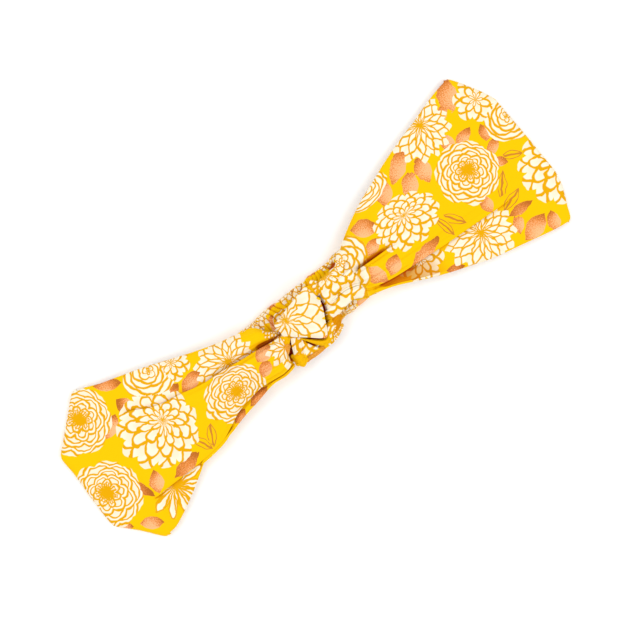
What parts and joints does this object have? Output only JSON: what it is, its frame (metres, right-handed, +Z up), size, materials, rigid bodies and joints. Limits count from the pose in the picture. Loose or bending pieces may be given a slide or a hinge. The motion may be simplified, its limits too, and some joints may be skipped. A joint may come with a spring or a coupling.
{
  "type": "headband",
  "caption": "Knotted cotton headband pressed flat: two wide fanned wraps linked in a knot at the front, joined behind by a gathered casing over flat elastic",
  "frame": {"origin": "middle of the flat headband, on the plane it rests on", "axes": "X along the loop from its left pressed end to its right one, Y across it, Z up out of the resting plane, with the knot on top"},
  "size_m": [0.25, 0.0826, 0.0187],
  "materials": {
    "cotton": "woven cotton, golden yellow, printed with white flowers and copper leaves",
    "elastic": "white woven elastic",
    "thread": "yellow sewing thread"
  },
  "bodies": {
    "elastic_back": {"elastic_casing": "cotton", "elastic_band": "elastic", "left_seam_stitches": "thread", "right_seam_stitches": "thread"},
    "left_back": {"left_wrap_back": "cotton"},
    "left_fold": {"left_wrap_fold": "cotton"},
    "left_front": {"left_wrap_front": "cotton"},
    "knot": {"left_knot_loop": "cotton", "right_knot_loop": "cotton"},
    "right_back": {"right_wrap_back": "cotton"},
    "right_fold": {"right_wrap_fold": "cotton"},
    "right_front": {"right_wrap_front": "cotton"}
  },
  "joints": [
    {"name": "left_seam_bend", "type": "hinge", "parent": "elastic_back", "child": "left_back", "pos_m": [-0.06, 0, 0.0024], "axis": [0, 1, 0], "range_deg": [0, 54]},
    {"name": "left_back_crease", "type": "hinge", "parent": "left_back", "child": "left_fold", "pos_m": [-0.098, 0, 0], "axis": [0, -1, 0], "range_deg": [0, 54]},
    {"name": "left_front_crease", "type": "hinge", "parent": "left_fold", "child": "left_front", "pos_m": [-0.098, 0, 0.0053], "axis": [0, -1, 0], "range_deg": [0, 36]},
    {"name": "left_knot_bend", "type": "hinge", "parent": "left_front", "child": "knot", "pos_m": [-0.028, 0, 0.0064], "axis": [0, 1, 0], "range_deg": [0, 36]},
    {"name": "right_seam_bend", "type": "hinge", "parent": "elastic_back", "child": "right_back", "pos_m": [0.06, 0, 0.0024], "axis": [0, -1, 0], "range_deg": [0, 54]},
    {"name": "right_back_crease", "type": "hinge", "parent": "right_back", "child": "right_fold", "pos_m": [0.098, 0, 0], "axis": [0, 1, 0], "range_deg": [0, 54]},
    {"name": "right_front_crease", "type": "hinge", "parent": "right_fold", "child": "right_front", "pos_m": [0.098, 0, 0.0053], "axis": [0, 1, 0], "range_deg": [0, 36]}
  ],
  "couplings": [
    {"joint": "left_seam_bend", "follows": "left_front_crease", "ratio": 1.5},
    {"joint": "left_back_crease", "follows": "left_front_crease", "ratio": 1.5},
    {"joint": "left_knot_bend", "follows": "left_front_crease", "ratio": 1},
    {"joint": "right_seam_bend", "follows": "left_front_crease", "ratio": 1.5},
    {"joint": "right_back_crease", "follows": "left_front_crease", "ratio": 1.5},
    {"joint": "right_front_crease", "follows": "left_front_crease", "ratio": 1}
  ]
}
